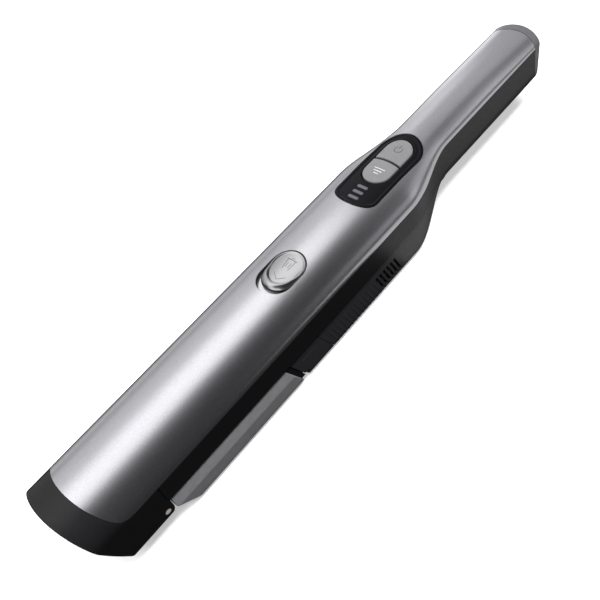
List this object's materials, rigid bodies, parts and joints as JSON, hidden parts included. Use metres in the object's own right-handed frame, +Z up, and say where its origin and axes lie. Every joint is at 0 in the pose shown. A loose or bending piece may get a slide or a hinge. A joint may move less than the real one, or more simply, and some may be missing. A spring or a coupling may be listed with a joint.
{
  "type": "handheld vacuum",
  "caption": "Slim cordless handheld vacuum with a slanted suction nozzle, drop-down dust door, sliding release, key panel and tapered grip handle.",
  "frame": {"origin": "under the middle of the length, on the surface that the vacuum lies on", "axes": "+X from the nozzle to the handle's end, +Z up from the belly to the silver top, +Y to the left side seen from the handle"},
  "size_m": [0.4332, 0.058, 0.0577],
  "materials": {
    "silver_shell": "satin metallic paint",
    "black_frame": "satin",
    "housing_black": "satin",
    "grip_grey": "matte",
    "cap_grey": "satin",
    "door_grey": "satin smoke tint",
    "liner_clear": "clear tinted liner",
    "slider_silver": "satin",
    "duct_black": "matte",
    "rubber": "matte",
    "steel": "brushed",
    "motor_metal": "cast",
    "filter_paper": "pleated",
    "foam": "open foam",
    "panel_black": "gloss",
    "lamp": "translucent",
    "key_grey": "matte",
    "board_green": "solder mask",
    "cell_wrap": "shrink wrap",
    "wire": "insulation"
  },
  "bodies": {
    "housing": {"top_shell": "silver_shell", "main_frame": "black_frame", "hinge_cover": "black_frame", "slider_well": "black_frame", "bulkhead": "black_frame", "fan_shroud": "black_frame", "bottom_housing": "housing_black", "grip_cover": "grip_grey", "end_cap": "cap_grey", "dust_cup": "liner_clear", "inlet_duct": "duct_black", "battery_holder": "duct_black", "filter_seal": "rubber", "front_motor_mount": "rubber", "rear_motor_mount": "rubber", "door_hinge_pin": "steel", "flap_pin": "steel", "guide_pins": "steel", "boost_spring": "steel", "power_spring": "steel", "housing_screws": "steel", "grip_screws": "steel", "cell_tabs": "steel", "charging_port": "steel", "motor_can": "motor_metal", "exhaust_foam": "foam", "control_panel": "panel_black", "led_bars": "lamp", "control_board": "board_green", "charging_board": "board_green", "motor_driver": "board_green", "boost_switch": "board_green", "power_switch": "board_green", "battery_cells": "cell_wrap", "wire_leads": "wire"},
    "release": {"release_slider": "slider_silver", "door_latch": "duct_black", "release_spring": "steel"},
    "door": {"dust_door": "door_grey", "door_collar": "black_frame", "door_seals": "rubber"},
    "boost_key": {"boost_button": "key_grey"},
    "power_key": {"power_button": "key_grey"},
    "flap": {"inlet_flap": "rubber"},
    "rotor": {"impeller": "motor_metal", "motor_shaft": "steel"},
    "filter": {"filter_frame": "duct_black", "pleated_filter": "filter_paper", "mesh_screen": "steel"}
  },
  "joints": [
    {"name": "door_hinge", "type": "hinge", "parent": "housing", "child": "door", "pos_m": [-0.06374, 0, 0.0042], "axis": [0, -1, 0], "range_deg": [0, 105]},
    {"name": "release_slide", "type": "slide", "parent": "housing", "child": "release", "axis": [-1, 0, 0], "range_m": [0, 0.0032], "stiffness_N_per_m": 450, "springref_m": -0.002},
    {"name": "power_press", "type": "slide", "parent": "housing", "child": "power_key", "axis": [0, 0, -1], "range_m": [0, 0.0008], "stiffness_N_per_m": 900, "springref_m": -0.001, "deforming": ["power_spring"]},
    {"name": "boost_press", "type": "slide", "parent": "housing", "child": "boost_key", "axis": [0, 0, -1], "range_m": [0, 0.0008], "stiffness_N_per_m": 900, "springref_m": -0.001, "deforming": ["boost_spring"]},
    {"name": "flap_swing", "type": "hinge", "parent": "housing", "child": "flap", "pos_m": [-0.16595, 0, 0.0447], "axis": [0, -1, 0], "range_deg": [0, 60], "stiffness_Nm_per_rad": 0.0006, "springref_deg": -11.46},
    {"name": "fan_spin", "type": "hinge", "parent": "housing", "child": "rotor", "pos_m": [-0.02534, 0, 0.027], "axis": [1, 0, 0], "continuous": true},
    {"name": "filter_pull", "type": "slide", "parent": "housing", "child": "filter", "axis": [-1, 0, 0], "range_m": [0, 0.022]}
  ]
}
